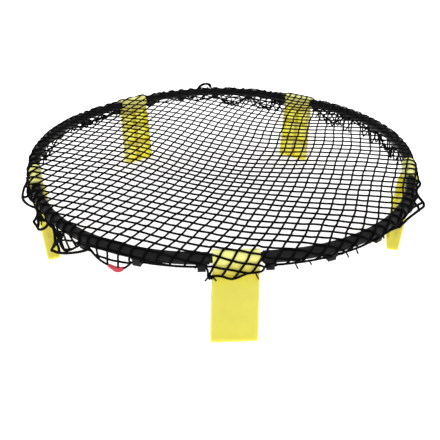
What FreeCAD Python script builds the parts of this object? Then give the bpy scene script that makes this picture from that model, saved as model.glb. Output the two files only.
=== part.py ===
"""Roundnet: a low round net on five fold-in legs.

Five black rim tubes plug into the sleeves of five yellow legs and make a ring.  A knotted net
lies over the ring, wraps down its outer side and is held by its edge cord on hooks under the
tubes.  Millimetres, +Z up, origin on the floor under the middle of the whole part.  Leg 1
stands at -Y and the numbers go round counter-clockwise seen from above.
"""
import FreeCAD, Part
import math
import os
import Sketcher

LEG_COUNT = 5
TURN = 360.0 / LEG_COUNT
HOOKS_PER_TUBE = 5
CELL_ROWS = 3
# how far a cutting solid reaches past the sheet that it cuts
CUT_REACH = 12
# share of the shorter run beside a corner of the edge cord that its bend takes
BEND_SHARE = 0.45
# flat sides that stand for the round of a hidden bore, and steps of the net over a bar
BORE_SIDES = 12
HOLE_SIDES = 8
WRAP_STEP = 30

# how the net's edge hangs between the hooks of each tube, counter-clockwise
LOBES = ["tight tight tight slack", "deep deep slack deep", "deep deep slack tight",
         "slack tight deep slack", "slack deep slack tight"]

SIZES = {
    # ring
    "ring_apothem": 439, "axis_height": 191,
    # rim tubes
    "tube_diameter": 22, "tube_wall": 2.5, "spigot_diameter": 17, "spigot_wall": 2.4,
    "spigot_gap": 2, "neck_gap": 5, "shoulder_length": 9, "shoulder_chamfer": 1.2,
    # hooks under the tubes
    "hook_width": 14, "hook_drop": 24, "hook_stem": 4.3, "hook_mouth": 5.5, "hook_lip": 3,
    "hook_lip_height": 8, "hook_floor": 4, "hook_outset": 9.2, "hook_inset": 13.5,
    "saddle_width": 20, "saddle_thickness": 2.2, "saddle_spread": 18.7, "saddle_foot": 11,
    "saddle_rise": 5.5,
    # legs
    "sleeve_diameter": 29, "sleeve_length": 80, "bore_clearance": 0.08, "plate_setback": 2,
    "leg_depth": 26.5, "foot_width": 90, "plate_wall": 3, "side_wall": 3, "rib_wall": 2.4,
    "foot_wall": 5, "sleeve_web": 3, "waist_depth": 3.8, "waist_start": 24, "waist_end": 46,
    "leaf_width": 12, "leaf_length": 60, "leaf_depth": 1.8, "leaf_top": 98, "leaf_setback": 16,
    "corner_radius": 2,
    # net
    "mesh_pitch": 48, "strand_width": 4, "net_thickness": 1.6, "soft_clearance": 0.3,
    "net_turn": -17, "least_gap_share": 0.14, "hem_width": 5, "notch_depth": 3, "cross_strand": 5,
    "cord_diameter": 4, "cord_clearance": 0.15, "cord_arch": 1, "hook_margin": 1.5, "end_margin": 1.2,
    "cord_clear_of_leg": 5.5,
    "edge_clearance": 0.8, "tight_lobe_drop": 17.5, "lobe_drop": 27, "deep_lobe_drop": 46,
    "sleeve_lobe_drop": 36,
    "lobe_flat": 40, "deep_lobe_flat": 18,
    "lap_strand": 3, "lap_point": 13.5, "crest_gap_high": 78, "crest_gap_low": 32,
    # knot and marker tag
    "knot_length": 11, "knot_diameter": 9, "knot_distance": 14,
    "tag_length": 16, "tag_width": 12.5, "tag_thickness": 6.8, "tag_wall": 2.4,
}


class Formula:
    """A size written as a sheet expression, with its present value."""

    def __init__(self, text, value):
        self.text = text
        self.value = float(value)

    def join(self, other, sign, value):
        return Formula("(%s %s %s)" % (self.text, sign, formula(other).text), value)

    def __add__(self, other):
        return self.join(other, "+", self.value + formula(other).value)

    def __sub__(self, other):
        return self.join(other, "-", self.value - formula(other).value)

    def __mul__(self, other):
        return self.join(other, "*", self.value * formula(other).value)

    def __truediv__(self, other):
        return self.join(other, "/", self.value / formula(other).value)

    def __neg__(self):
        return Formula("(-1 * %s)" % self.text, -self.value)


def formula(number):
    """Return a number as a Formula, and a Formula as it is."""
    if isinstance(number, Formula):
        return number
    return Formula(repr(float(number)), number)


def square_root(inner):
    return Formula("sqrt(%s)" % inner.text, math.sqrt(inner.value))


def arc_tangent(ratio):
    return Formula("(atan(%s) / 1deg)" % ratio.text, math.degrees(math.atan(ratio.value)))


def make_sheet(doc):
    """Write the driving sizes into the spreadsheet and return them as formulas."""
    sheet = doc.addObject("Spreadsheet::Sheet", "Sizes")
    for row, (alias, number) in enumerate(SIZES.items(), start=1):
        sheet.set("A%d" % row, alias)
        sheet.set("B%d" % row, str(number))
        sheet.setAlias("B%d" % row, alias)
    doc.recompute()
    return {alias: Formula("Sizes.%s" % alias, getattr(sheet, alias)) for alias in SIZES}


# sketch helpers

def origin_plane(body, role):
    return next(item for item in body.Origin.OriginFeatures if item.Role == role)


def sketch_on(body, role, name, offset=None, turn=None):
    """Add a sketch on an origin plane, moved along its normal and turned about one of its axes."""
    sketch = body.newObject("Sketcher::SketchObject", name)
    sketch.AttachmentSupport = (origin_plane(body, role), [""])
    sketch.MapMode = "FlatFace"
    if turn is not None:
        axis, angle = turn
        rotation = FreeCAD.Rotation(axis, angle.value)
        sketch.AttachmentOffset = FreeCAD.Placement(FreeCAD.Vector(0, 0, 0), rotation)
        sketch.setExpression("AttachmentOffset.Rotation.Angle", angle.text)
    if offset is not None:
        sketch.setExpression("AttachmentOffset.Base.z", offset.text)
    return sketch


def bind(sketch, constraint, size):
    """Add a driving constraint and tie it to its formula."""
    index = sketch.addConstraint(constraint)
    sketch.setExpression("Constraints[%d]" % index, size.text)


def place_vertex(sketch, line, end, point):
    """Fix one end of a line, or a circle's middle, at a pair of formulas or numbers."""
    for kind, axis, coordinate in (("DistanceX", -2, point[0]), ("DistanceY", -1, point[1])):
        size = formula(coordinate)
        if coordinate == 0:
            sketch.addConstraint(Sketcher.Constraint("PointOnObject", line, end, axis))
        else:
            bind(sketch, Sketcher.Constraint(kind, -1, 1, line, end, size.value), size)


def polygon(sketch, points):
    """Draw a closed polygon whose corners are tied to the sheet."""
    corners = [FreeCAD.Vector(formula(x).value, formula(y).value, 0) for x, y in points]
    first = sketch.GeometryCount
    for start, end in zip(corners, corners[1:] + corners[:1]):
        sketch.addGeometry(Part.LineSegment(start, end), False)
    count = len(corners)
    for step in range(count):
        following = first + (step + 1) % count
        sketch.addConstraint(Sketcher.Constraint("Coincident", first + step, 2, following, 1))
    for step, point in enumerate(points):
        place_vertex(sketch, first + step, 1, point)


def circle(sketch, centre, diameter):
    middle = FreeCAD.Vector(formula(centre[0]).value, formula(centre[1]).value, 0)
    normal = FreeCAD.Vector(0, 0, 1)
    line = sketch.addGeometry(Part.Circle(middle, normal, diameter.value / 2), False)
    place_vertex(sketch, line, 3, centre)
    bind(sketch, Sketcher.Constraint("Diameter", line, diameter.value), diameter)


def leaf(sketch, centre_x, top, length, width):
    """Draw a pointed leaf of two arcs, standing on end."""
    half, bulge = length.value / 2, width.value / 2
    radius = (half * half + bulge * bulge) / (2 * bulge)
    middle_y = top.value - half
    tip = FreeCAD.Vector(centre_x.value, top.value, 0)
    toe = FreeCAD.Vector(centre_x.value, top.value - 2 * half, 0)
    right = Part.Arc(toe, FreeCAD.Vector(centre_x.value + bulge, middle_y, 0), tip)
    left = Part.Arc(tip, FreeCAD.Vector(centre_x.value - bulge, middle_y, 0), toe)
    first = sketch.addGeometry(right, False)
    second = sketch.addGeometry(left, False)
    sketch.addConstraint(Sketcher.Constraint("Coincident", first, 2, second, 1))
    sketch.addConstraint(Sketcher.Constraint("Coincident", second, 2, first, 1))
    place_vertex(sketch, first, 2, (centre_x, top))
    place_vertex(sketch, first, 1, (centre_x, top - length))
    bound = (length * length / 4 + width * width / 4) / width
    bind(sketch, Sketcher.Constraint("Radius", first, radius), bound)
    bind(sketch, Sketcher.Constraint("Radius", second, radius), bound)


# feature helpers

def tie(feature, sizes):
    for name, size in sizes.items():
        feature.setExpression(name, formula(size).text)


def pad(body, sketch, name, length, midplane=False, reverse=False):
    feature = body.newObject("PartDesign::Pad", name)
    feature.Profile = sketch
    feature.Midplane = midplane
    feature.Reversed = reverse
    tie(feature, {"Length": length})
    return feature


def pocket(body, sketch, name, depth=None, midplane=False, reverse=False):
    """Cut a sketch to a depth, or through all when no depth is given."""
    feature = body.newObject("PartDesign::Pocket", name)
    feature.Profile = sketch
    feature.Midplane = midplane
    feature.Reversed = reverse
    if depth is None:
        feature.Type = "ThroughAll"
    else:
        tie(feature, {"Length": depth})
    return feature


def turned(body, kind, sketch, name, angle):
    """Turn a sketch about the body's Z axis, spread evenly to both sides."""
    feature = body.newObject(kind, name)
    feature.Profile = sketch
    feature.ReferenceAxis = (origin_plane(body, "Z_Axis"), [""])
    feature.Midplane = True
    tie(feature, {"Angle": angle})
    return feature


def mirror(body, features, role, name):
    feature = body.newObject("PartDesign::Mirrored", name)
    feature.Originals = features
    feature.MirrorPlane = (origin_plane(body, role), [""])
    body.Tip = feature
    return feature


def dress(body, kind, name, test, sizes):
    """Round or bevel the edges of the body that pass a test."""
    base = body.Tip
    names = ["Edge%d" % number for number, edge in enumerate(base.Shape.Edges, start=1)
             if test(edge)]
    feature = body.newObject(kind, name)
    feature.Base = (base, names)
    tie(feature, sizes)
    body.Tip = feature


def put(item, size, angle, reach):
    """Place a sub-part on the ring's level at a distance from its middle, facing outward."""
    direction = math.radians(angle)
    item.Placement = FreeCAD.Placement(FreeCAD.Vector(0, 0, 0),
                                       FreeCAD.Rotation(FreeCAD.Vector(0, 0, 1), angle))
    tie(item, {"Placement.Base.x": reach * math.cos(direction),
               "Placement.Base.y": reach * math.sin(direction) + ring_shift(size),
               "Placement.Base.z": size["axis_height"]})


# ring layout: straight stretches through the sleeves, joined by one arc per tube

def leg_angle(number):
    return -90.0 + TURN * (number - 1)


def tube_angle(number):
    return leg_angle(number) + TURN / 2


def half_straight(size):
    return size["sleeve_length"] / 2 + size["neck_gap"]


def bend_reach(size):
    """Distance from the middle of the ring to the middle of a tube's bend."""
    return half_straight(size) / math.sin(math.radians(TURN / 2))


def bend_radius(size):
    return size["ring_apothem"] - bend_reach(size) * math.cos(math.radians(TURN / 2))


def ring_shift(size):
    """How far the ring stands towards leg 1, so that the whole part is centred on the origin."""
    wrap = size["soft_clearance"] + size["net_thickness"]
    rear = bend_reach(size) + bend_radius(size) + size["tube_diameter"] / 2 + wrap
    lap = size["soft_clearance"] + size["net_thickness"] / 2 + size["cord_diameter"] / 2
    front = size["ring_apothem"] + size["sleeve_diameter"] / 2 + lap
    return (front - rear) / 2


def length_as_turn(size, length):
    """Angle in degrees that a length takes along a tube's bend."""
    return length / bend_radius(size) * (180 / math.pi)


# rim tube

def rim_tube(doc, size):
    """The first bent black tube with its end spigots and the five net hooks under it."""
    body = doc.addObject("PartDesign::Body", "rim_tube_1")
    radius = bend_radius(size)

    section = sketch_on(body, "XZ_Plane", "TubeSection")
    circle(section, (radius, 0), size["tube_diameter"])
    turned(body, "PartDesign::Revolution", section, "Tube", TURN)

    hook = tube_hooks(body, size, radius)
    spigot_turn = (FreeCAD.Vector(0, 1, 0), formula(TURN / 2))
    end = sketch_on(body, "XZ_Plane", "SpigotSection", turn=spigot_turn)
    circle(end, (radius, 0), size["spigot_diameter"])
    reach = half_straight(size) - size["spigot_gap"] / 2
    spigot = pad(body, end, "Spigot", reach, reverse=True)
    mirror(body, [spigot], "XZ_Plane", "OtherSpigot")

    bore_section = sketch_on(body, "XZ_Plane", "BoreSection")
    bore = size["tube_diameter"] / 2 - size["tube_wall"]
    turns = [math.radians(360 * (side + 0.5) / BORE_SIDES) for side in range(BORE_SIDES)]
    polygon(bore_section, [(radius + bore * math.cos(turn), bore * math.sin(turn))
                           for turn in turns])
    bore_turn = formula(TURN) - length_as_turn(size, size["shoulder_length"]) * 2
    turned(body, "PartDesign::Groove", bore_section, "Bore", bore_turn)

    open_end = sketch_on(body, "XZ_Plane", "SpigotBore", turn=spigot_turn)
    circle(open_end, (radius, 0), size["spigot_diameter"] - size["spigot_wall"] * 2)
    outward = pocket(body, open_end, "OpenEnd", reach, reverse=False)
    inward = pocket(body, open_end, "OpenShoulder", size["shoulder_length"] + 1, reverse=True)
    mirror(body, [outward, inward], "XZ_Plane", "OtherOpenEnd")

    doc.recompute()
    tube_radius = size["tube_diameter"].value / 2

    def shoulder(edge):
        curve = edge.Curve
        return isinstance(curve, Part.Circle) and abs(curve.Radius - tube_radius) < 1e-6 \
            and abs(abs(math.degrees(math.atan2(curve.Center.y, curve.Center.x))) - TURN / 2) < 0.01

    dress(body, "PartDesign::Chamfer", "ShoulderChamfer", shoulder,
          {"Size": size["shoulder_chamfer"]})
    return body


def tube_hooks(body, size, radius):
    """Five hooks under the tube: each a saddle and a J that opens towards the middle."""
    step = hook_step(size)
    first_turn = (FreeCAD.Vector(0, 1, 0), -step * (HOOKS_PER_TUBE - 1) / 2)
    tube_radius = size["tube_diameter"] / 2
    low = -tube_radius - size["saddle_thickness"]
    side = size["saddle_spread"] / 2
    foot = size["saddle_foot"] / 2
    rise = -size["saddle_rise"]
    saddle_sketch = sketch_on(body, "XZ_Plane", "SaddleSection", turn=first_turn)
    polygon(saddle_sketch, [
        (radius + side, rise), (radius + foot, low), (radius - foot, low), (radius - side, rise)])
    saddle = pad(body, saddle_sketch, "Saddle", size["saddle_width"], midplane=True)

    outer = radius + size["hook_outset"]
    inner = outer - size["hook_stem"]
    lip_inner = inner - size["hook_mouth"]
    lip_outer = lip_inner - size["hook_lip"]
    bottom = -size["hook_drop"]
    floor = bottom + size["hook_floor"]
    root = -tube_radius / 2
    round_off = size["hook_floor"] / 2
    j_sketch = sketch_on(body, "XZ_Plane", "HookSection", turn=first_turn)
    polygon(j_sketch, [
        (outer, root), (outer, bottom + round_off), (outer - round_off, bottom),
        (lip_outer + round_off, bottom), (lip_outer, bottom + round_off),
        (lip_outer, bottom + size["hook_lip_height"]), (lip_inner, bottom + size["hook_lip_height"]),
        (lip_inner, floor), (inner, floor), (inner, root)])
    hook = pad(body, j_sketch, "Hook", size["hook_width"], midplane=True)

    pattern = body.newObject("PartDesign::PolarPattern", "Hooks")
    pattern.Originals = [saddle, hook]
    pattern.Axis = (origin_plane(body, "Z_Axis"), [""])
    pattern.Occurrences = HOOKS_PER_TUBE
    tie(pattern, {"Angle": step * (HOOKS_PER_TUBE - 1)})
    body.Tip = pattern
    return pattern


def hook_step(size):
    """Angle about the bend from one hook to the next."""
    ends = length_as_turn(size, size["hook_inset"]) * 2
    return (formula(TURN) - ends) / (HOOKS_PER_TUBE - 1)


# leg

def leg(doc, size):
    """The first moulded leg: a sleeve over a tapered, ribbed channel open to the middle."""
    body = doc.addObject("PartDesign::Body", "leg_1")
    height = size["axis_height"]
    front = size["sleeve_diameter"] / 2 - size["plate_setback"]
    back = front - size["leg_depth"]
    waist = back + size["waist_depth"]

    side_view = sketch_on(body, "XZ_Plane", "SideView")
    polygon(side_view, [
        (front, 0), (front, -height), (back, -height), (back, -size["waist_end"]),
        (waist, -size["waist_start"]), (waist, 0)])
    pad(body, side_view, "Channel", size["foot_width"], midplane=True)

    taper_view = sketch_on(body, "YZ_Plane", "TaperView")
    beyond = size["foot_width"] / 2 + size["side_wall"]
    neck = size["sleeve_length"] / 2
    polygon(taper_view, [
        (neck, 0), (neck, -taper_start(size)), (size["foot_width"] / 2, -height),
        (beyond, -height), (beyond, 0)])
    taper = pocket(body, taper_view, "Taper", midplane=True)
    mirror(body, [taper], "XZ_Plane", "OtherTaper")

    sleeve_section = sketch_on(body, "XZ_Plane", "SleeveSection")
    circle(sleeve_section, (0, 0), size["sleeve_diameter"])
    pad(body, sleeve_section, "Sleeve", size["sleeve_length"], midplane=True)

    cells = sketch_on(body, "YZ_Plane", "Cells", offset=front - size["plate_wall"])
    for points in leg_cells(size):
        polygon(cells, points)
    hollow = pocket(body, cells, "Hollow")
    mirror(body, [hollow], "XZ_Plane", "OtherHollow")

    bore_section = sketch_on(body, "XZ_Plane", "BoreSection")
    circle(bore_section, (0, 0), size["spigot_diameter"] + size["bore_clearance"] * 2)
    pocket(body, bore_section, "Bore", midplane=True)

    tilt = (FreeCAD.Vector(1, 0, 0), -arc_tangent(taper_slope(size)))
    side = sketch_on(body, "XZ_Plane", "LeafSection", half_width(size, formula(0)), tilt)
    leaf(side, front - size["leaf_setback"], -size["leaf_top"], size["leaf_length"],
         size["leaf_width"])
    recess = pocket(body, side, "Leaf", size["leaf_depth"])
    mirror(body, [recess], "XZ_Plane", "OtherLeaf")

    doc.recompute()
    face_x = front.value

    def plate_corner(edge):
        ends = [vertex.Point for vertex in edge.Vertexes]
        return len(ends) == 2 and all(abs(end.x - face_x) < 1e-6 for end in ends) \
            and abs(ends[0].z - ends[1].z) > height.value / 2

    dress(body, "PartDesign::Fillet", "PlateCorners", plate_corner,
          {"Radius": size["corner_radius"]})
    return body


def taper_start(size):
    """Depth under the sleeve's axis where the leg begins to widen."""
    return size["sleeve_diameter"] / 2 + size["sleeve_web"]


def taper_slope(size):
    widening = (size["foot_width"] - size["sleeve_length"]) / 2
    return widening / (size["axis_height"] - taper_start(size))


def half_width(size, depth):
    """Half the leg's width at a depth, along the slope of its tapered sides."""
    return size["sleeve_length"] / 2 + taper_slope(size) * (depth - taper_start(size))


def leg_cells(size):
    """Outlines of the hollows on one side of the middle rib."""
    top = taper_start(size)
    bottom = size["axis_height"] - size["foot_wall"]
    rib = size["rib_wall"]
    room = (bottom - top - rib * (CELL_ROWS - 1)) / CELL_ROWS
    wall = size["side_wall"]
    outlines = []
    for row in range(CELL_ROWS):
        high = top + (room + rib) * row
        low = high + room
        outlines.append([(rib / 2, -high), (half_width(size, high) - wall, -high),
                         (half_width(size, low) - wall, -low), (rib / 2, -low)])
    return outlines


# net

class NetSizes:
    """Plain numbers that the net, its edge cord and its tag share."""

    def __init__(self, size):
        def read(name):
            return size[name].value

        self.apothem = read("ring_apothem")
        self.shift = ring_shift(size).value
        self.height = read("axis_height")
        self.reach = bend_reach(size).value
        self.bend = bend_radius(size).value
        self.straight = half_straight(size).value
        self.thickness = read("net_thickness")
        self.clearance = read("soft_clearance")
        self.tube_inner = read("tube_diameter") / 2 + self.clearance
        self.sleeve_inner = read("sleeve_diameter") / 2 + self.clearance
        self.notch = read("sleeve_diameter") / 2 + read("notch_depth")
        self.pitch = read("mesh_pitch")
        self.strand = read("strand_width")
        self.cross = read("cross_strand")
        self.turn = read("net_turn")
        self.least_share = read("least_gap_share")
        self.hem = read("hem_width")
        self.hook_half = read("hook_width") / 2 + read("hook_margin")
        self.end_margin = read("end_margin")
        self.hook_turn = hook_step(size).value
        self.hook_inset = read("hook_inset")
        self.edge_at_hook = read("hook_drop") - read("hook_lip_height")
        self.cord_radius = read("cord_diameter") / 2
        self.cord_gap = read("cord_clearance")
        self.edge_gap = self.cord_radius + read("edge_clearance")
        self.crook_x = read("hook_outset") - read("hook_stem") - read("hook_mouth") / 2
        floor = read("hook_drop") - read("hook_floor")
        self.crook_z = -(floor - self.cord_radius - self.cord_gap - read("cord_arch"))
        self.drop = read("lobe_drop")
        self.tight_drop = read("tight_lobe_drop")
        self.deep_drop = read("deep_lobe_drop")
        self.sleeve_drop = read("sleeve_lobe_drop")
        self.flat = read("lobe_flat") / 2
        self.deep_flat = read("deep_lobe_flat") / 2
        self.lap_strand = read("lap_strand")
        self.lap_point = read("lap_point") / 2
        self.gap_high = math.radians(read("crest_gap_high"))
        self.gap_low = math.radians(read("crest_gap_low"))
        self.leg_side = read("sleeve_length") / 2 + read("cord_clear_of_leg")
        self.leg_front = read("sleeve_diameter") / 2 - read("plate_setback")
        self.knot_length = read("knot_length")
        self.knot_radius = read("knot_diameter") / 2
        self.knot_distance = read("knot_distance")
        self.tag_length = read("tag_length")
        self.tag_width = read("tag_width")
        self.tag_thickness = read("tag_thickness")
        self.tag_wall = read("tag_wall")


def vector(x, y, z=0.0):
    return FreeCAD.Vector(x, y, z)


def frame(angle, reach, height):
    """Placement of a local frame that faces outward at a distance from the middle."""
    direction = math.radians(angle)
    base = vector(reach * math.cos(direction), reach * math.sin(direction), height)
    return FreeCAD.Placement(base, FreeCAD.Rotation(vector(0, 0, 1), angle))


def feature(doc, net, name, shape, placement=None):
    """Add a shape that stands in the ring's own frame, moved with the ring."""
    item = doc.addObject("Part::Feature", name)
    item.Shape = shape
    if placement is None:
        placement = FreeCAD.Placement()
    placement.Base = placement.Base.add(vector(0, net.shift))
    item.Placement = placement
    return item


def outline_wire(net, margin):
    """Outline of the flat net: the tubes' crest lines, notched round each sleeve."""
    edges = []
    corners = []
    radius = net.bend - margin
    inset = net.apothem - net.notch - margin
    for number in range(1, LEG_COUNT + 1):
        middle = frame(tube_angle(number), net.reach, 0)
        start, top, end = [
            middle.multVec(vector(radius * math.cos(math.radians(part * TURN / 2)),
                                  radius * math.sin(math.radians(part * TURN / 2))))
            for part in (-1, 0, 1)]
        leg_before = frame(leg_angle(number), inset, 0)
        leg_after = frame(leg_angle(number + 1), inset, 0)
        half = net.straight + margin
        corners.append([leg_before.multVec(vector(0, half)), start, top, end,
                        leg_after.multVec(vector(0, -half))])
    if margin > 0:
        for points in corners:
            points[1] = slide_along(points[0], points[1], net, margin)
            points[3] = slide_along(points[4], points[3], net, margin)
    for index, points in enumerate(corners):
        following = corners[(index + 1) % LEG_COUNT]
        edges.append(Part.LineSegment(points[0], points[1]).toShape())
        edges.append(Part.Arc(points[1], points[2], points[3]).toShape())
        edges.append(Part.LineSegment(points[3], points[4]).toShape())
        edges.append(Part.LineSegment(points[4], following[0]).toShape())
    return Part.Wire(edges)


def slide_along(foot, corner, net, margin):
    """Move an inset outline's corner to where the notch's side meets the inset bend."""
    number = min(range(1, LEG_COUNT + 1), key=lambda item: frame(
        tube_angle(item), net.reach + net.bend, 0).Base.sub(corner).Length)
    centre = frame(tube_angle(number), net.reach, 0).Base
    legs = (leg_angle(number), leg_angle(number + 1))
    outward = [vector(math.cos(math.radians(angle)), math.sin(math.radians(angle)))
               for angle in legs]
    side = max(outward, key=lambda item: item.dot(foot))
    arm = foot.sub(centre)
    along = arm.dot(side)
    across = arm.sub(side * along).Length
    reach = math.sqrt((net.bend - margin) ** 2 - across ** 2)
    return centre.add(side * reach).add(arm.sub(side * along))


def mesh_gaps(net):
    """Square gaps of the flat net, turned as the net lies and trimmed at its border."""
    border = Part.Face(outline_wire(net, net.hem))
    half = (net.pitch - net.strand) / 2
    count = int((net.apothem + net.bend) / net.pitch)
    turn = FreeCAD.Rotation(vector(0, 0, 1), net.turn)
    gaps = []
    for row in range(-count, count + 1):
        for column in range(-count, count + 1):
            middle = vector((column + 0.5) * net.pitch, (row + 0.5) * net.pitch)
            corners = [turn.multVec(middle.add(vector(x * half, y * half)))
                       for x, y in ((-1, -1), (1, -1), (1, 1), (-1, 1))]
            if min(corner.Length for corner in corners) > net.apothem + net.strand:
                continue
            square = Part.Face(Part.makePolygon(corners + corners[:1]))
            whole = square.Area
            trimmed = square.common(border)
            for face in trimmed.Faces:
                if face.Area > whole * net.least_share:
                    gaps.append(face)
    return gaps


def net_bed(doc, net):
    """The flat net: one holed sheet that lies over the ring."""
    gaps = mesh_gaps(net)
    print("net bed: %d gaps" % len(gaps))
    wires = [outline_wire(net, 0)] + [gap.OuterWire for gap in gaps]
    sheet = Part.makeFace(wires, "Part::FaceMakerBullseye")
    solid = sheet.extrude(vector(0, 0, net.thickness))
    return feature(doc, net, "net_bed", solid, FreeCAD.Placement(
        vector(0, 0, net.height + net.tube_inner), FreeCAD.Rotation()))


def crown(radius, start):
    """Flats touching a round bar, from an angle above its side down to its side."""
    count = math.ceil(start / WRAP_STEP)
    step = math.radians(start) / count
    reach = radius / math.cos(step / 2)
    corners = [math.radians(start) - step * (number + 0.5) for number in range(count)]
    first = math.radians(start)
    return ([(radius * math.cos(first), radius * math.sin(first))]
            + [(reach * math.cos(angle), reach * math.sin(angle)) for angle in corners]
            + [(radius, 0)])


def wrap_face(inner, thickness, drop, flat_level=None, flat_reach=None):
    """Section of the net going over a round bar and straight down its outer side."""
    outer = inner + thickness
    if flat_level is None:
        near, far = crown(inner, 90), crown(outer, 90)
    else:
        top_level = flat_level + thickness
        near = crown(inner, 180 - math.degrees(math.asin(flat_level / inner)))
        far = crown(outer, 180 - math.degrees(math.asin(top_level / outer)))
        near.insert(0, (-flat_reach, flat_level))
        far.insert(0, (-flat_reach, top_level))
    return upright_face(near + [(inner, -drop), (outer, -drop)] + far[::-1])


def upright_face(points):
    """Closed outline in the plane of a wrap's section."""
    corners = [vector(x, 0, z) for x, z in points]
    return Part.Face(Part.makePolygon(corners + corners[:1]))


def gap_faces(inner, thickness, net, drop):
    """Sections of the two rows of gaps in a wrap: over the crest and down the side."""
    near, far = inner - thickness, inner + thickness * 2
    high, low = net.gap_high, net.gap_low
    crest = upright_face([
        (near * math.cos(high), near * math.sin(high)), (far * math.cos(high), far * math.sin(high)),
        (far, far * math.sin(high)), (far, near * math.sin(low)),
        (near * math.cos(low), near * math.sin(low))])
    top = near * math.sin(low) - net.cross
    side = upright_face([(near, top), (far, top), (far, -drop), (near, -drop)])
    return crest, side


def prism(points, near, far):
    """Solid over an outline in the Y-Z plane, from one distance outward to another."""
    corners = [vector(near, y, z) for y, z in points]
    face = Part.Face(Part.makePolygon(corners + corners[:1]))
    return face.extrude(vector(far - near, 0, 0))


def lobe_half(net):
    return (net.bend + net.tube_inner) * math.sin(math.radians(net.hook_turn / 2))


def lobe_line(net, drop):
    """Lower edge of the net between two hooks, as offsets along the tube and heights."""
    half = lobe_half(net)
    flat = net.deep_flat if drop > net.drop else net.flat
    level = -net.edge_at_hook
    return blunted([(-half, level), (-half + net.hook_half, level), (-flat, -drop), (flat, -drop),
                    (half - net.hook_half, level), (half, level)])


def blunted(line):
    """Cut the two lowest corners of an edge line as far as the cord's bends reach."""
    low = min(z for y, z in line)
    points = []
    for before, corner, after in zip([line[0]] + line, line, line[1:] + [line[-1]]):
        if corner[1] > low:
            points.append(corner)
            continue
        reach = BEND_SHARE * min(math.dist(before, corner), math.dist(corner, after))
        for other in (before, after):
            share = reach / math.dist(corner, other)
            points.append(tuple(c + (o - c) * share for c, o in zip(corner, other)))
    return points


def lobe_drops(net, number):
    """Drop of the four lobes of a tube, which hang as unevenly as the net was hooked on."""
    drops = {"tight": net.tight_drop, "slack": net.drop, "deep": net.deep_drop}
    return [drops[word] for word in LOBES[number - 1].split()]


def hook_angles(net):
    first = -net.hook_turn * (HOOKS_PER_TUBE - 1) / 2
    return [first + net.hook_turn * step for step in range(HOOKS_PER_TUBE)]


def below(net, number, lift):
    """All that lies under a tube's lower net edge, raised by a hem's width when asked."""
    deep = net.deep_drop * 2
    middle = net.bend + net.tube_inner
    near, far = middle - CUT_REACH, middle + CUT_REACH
    pieces = []
    angles = hook_angles(net)
    level = -net.edge_at_hook
    wide = lobe_half(net) + net.hook_half / 2
    for start, drop in zip(angles, lobe_drops(net, number)):
        line = [(-wide, -deep), (-wide, level)] + lobe_line(net, drop)[1:-1]
        piece = prism(line + [(wide, level), (wide, -deep)], near, far)
        piece.rotate(vector(0, 0, 0), vector(0, 0, 1), start + net.hook_turn / 2)
        pieces.append(piece)
    spare = (net.straight + net.hook_inset) / 2
    start = net.hook_half / 4
    for angle, side in ((angles[0], -1), (angles[-1], 1)):
        piece = prism([(-side * start, -deep), (-side * start, level), (side * spare, level),
                       (side * spare, -deep)], near, far)
        piece.rotate(vector(0, 0, 0), vector(0, 0, 1), angle)
        pieces.append(piece)
    mass = pieces[0].multiFuse(pieces[1:])
    mass.translate(vector(0, 0, lift))
    return mass


def without(shell, rooms, place):
    """Cut rooms that stand in the ring's frame out of a sheet drawn in its own frame."""
    tools = []
    for room in rooms:
        tool = room.copy()
        tool.Placement = place.inverse().multiply(tool.Placement)
        tools.append(tool)
    return largest_solid(shell.cut(tools))


def net_skirt(doc, net, number, rooms):
    """Net over one tube: from the crest line down the outer side to its scalloped edge."""
    axis = vector(0, 0, 1)
    origin = vector(0, 0, 0)
    section = wrap_face(net.tube_inner, net.thickness, net.deep_drop + net.hem)
    section.translate(vector(net.bend, 0, 0))
    section.rotate(origin, axis, -TURN / 2)
    shell = section.revolve(origin, axis, TURN)
    shell = shell.cut(below(net, number, 0))
    columns = round(math.radians(TURN) * (net.bend + net.tube_inner) / net.pitch)
    step = TURN / columns
    width = step - math.degrees(net.strand / net.bend)
    crest, side = gap_faces(net.tube_inner, net.thickness, net, net.deep_drop + net.hem)
    gaps = []
    for face in (crest, side):
        face.translate(vector(net.bend, 0, 0))
        for column in range(columns):
            turned_face = face.copy()
            start = -TURN / 2 + step * (column + 0.5) - width / 2
            turned_face.rotate(origin, axis, start)
            gaps.append(turned_face.revolve(origin, axis, width))
    hem = below(net, number, net.hem)
    gaps = [gap.cut(hem) for gap in gaps]
    place = frame(tube_angle(number), net.reach, net.height)
    sheet = without(shell.cut(gaps), rooms, place)
    return feature(doc, net, "net_skirt_%d" % number, sheet, place)


def net_lap(doc, net, number, rooms):
    """Net over one sleeve, down to the V of its edge on the leg's face."""
    half = net.straight
    drop = net.sleeve_drop
    flat = net.tube_inner
    section = wrap_face(net.sleeve_inner, net.thickness, drop + net.hem, flat, net.notch)
    section.translate(vector(0, -half, 0))
    shell = section.extrude(vector(0, 2 * half, 0))
    line = sleeve_line(net)
    deep = drop * 3
    near, far = net.sleeve_inner - CUT_REACH, net.sleeve_inner + CUT_REACH
    shell = shell.cut(prism([(-half, -deep)] + line + [(half, -deep)], near, far))
    raised = prism([(-half, -deep)] + [(y, z + net.hem) for y, z in line] + [(half, -deep)],
                   near, far)
    columns = max(1, round(2 * half / (net.pitch / 2)))
    step = 2 * half / columns
    width = step - net.lap_strand
    crest, side = gap_faces(net.sleeve_inner, net.thickness, net, drop + net.hem)
    gaps = []
    for face in (crest, side):
        for column in range(columns):
            moved = face.copy()
            moved.translate(vector(0, -half + step * (column + 0.5) - width / 2, 0))
            gaps.append(moved.extrude(vector(0, width, 0)).cut(raised))
    place = frame(leg_angle(number), net.apothem, net.height)
    sheet = without(shell.cut(gaps), rooms, place)
    return feature(doc, net, "net_lap_%d" % number, sheet, place)


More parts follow.
